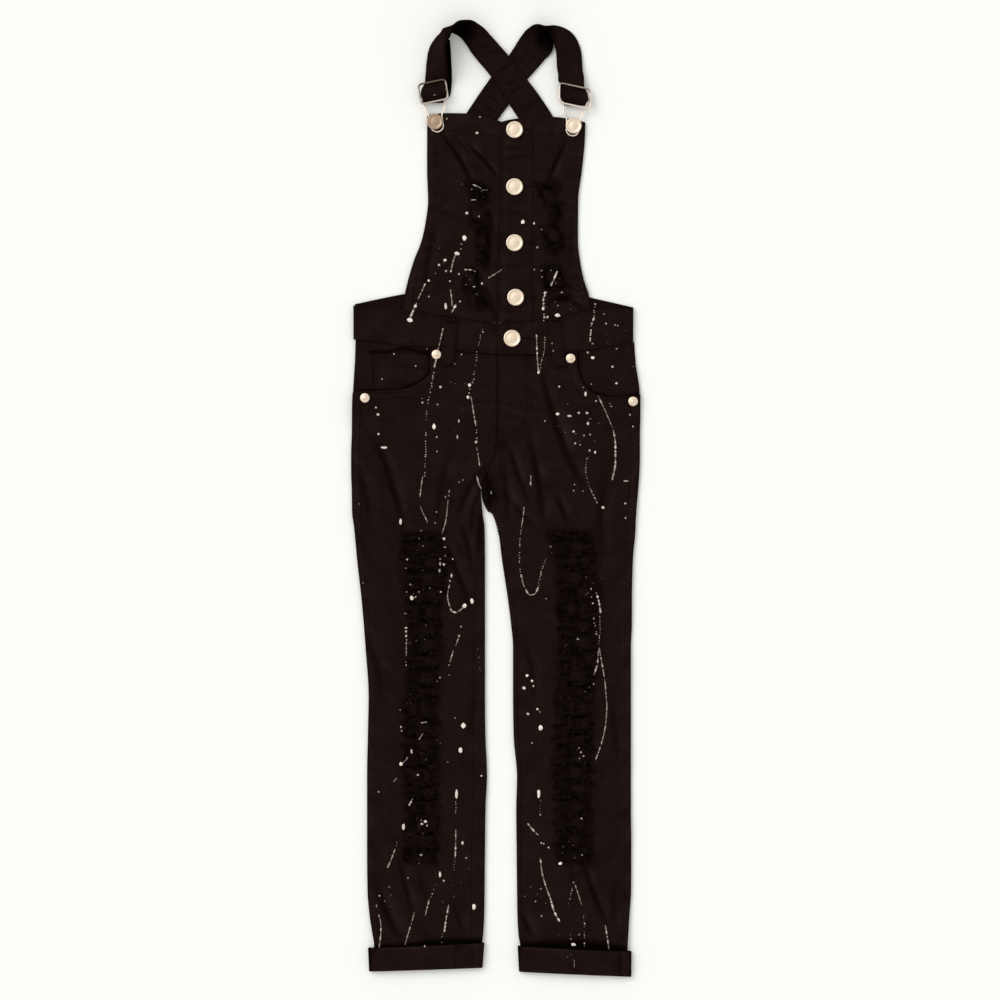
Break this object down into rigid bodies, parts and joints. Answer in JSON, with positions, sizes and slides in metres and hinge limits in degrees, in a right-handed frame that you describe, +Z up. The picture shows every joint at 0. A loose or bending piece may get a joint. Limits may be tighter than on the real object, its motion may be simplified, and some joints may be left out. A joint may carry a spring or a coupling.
{
  "type": "bib overalls",
  "caption": "Child's dark distressed denim dungarees laid flat, with a buttoned bib, crossed straps on wire buckles, ripped legs, turned-up hems and white paint spatter.",
  "frame": {"origin": "middle of the bounding box, on the surface that the garment lies on", "axes": "+X to the wearer's left, +Y from the hems towards the straps, +Z up off the surface, out of the front"},
  "size_m": [0.2894, 0.9576, 0.0268],
  "materials": {
    "denim": "washed black-brown cotton twill, matt, with cream-white paint spatter",
    "metal": "pale champagne nickel plate, satin"
  },
  "bodies": {
    "root": {"back_leg_right": "denim", "back_leg_left": "denim", "front_leg_right": "denim", "front_leg_left": "denim", "turn_up_right": "denim", "turn_up_left": "denim", "waistband_back": "denim", "waistband_front_right": "denim", "waistband_front_left": "denim", "belt_loop_right": "denim", "belt_loop_left": "denim", "pocket_facing_right": "denim", "pocket_facing_left": "denim", "coin_pocket": "denim", "bib_right": "denim", "bib_left": "denim", "bib_placket": "denim", "strap_right": "denim", "strap_left": "denim", "rivet_right_waist": "metal", "rivet_right_side": "metal", "rivet_left_waist": "metal", "rivet_left_side": "metal", "front_button_1": "metal", "front_button_2": "metal", "front_button_3": "metal", "front_button_4": "metal", "front_button_5": "metal", "slide_right": "metal", "slide_left": "metal", "hook_right": "metal", "hook_left": "metal", "bib_button_right": "metal", "bib_button_left": "metal"}
  },
  "joints": []
}
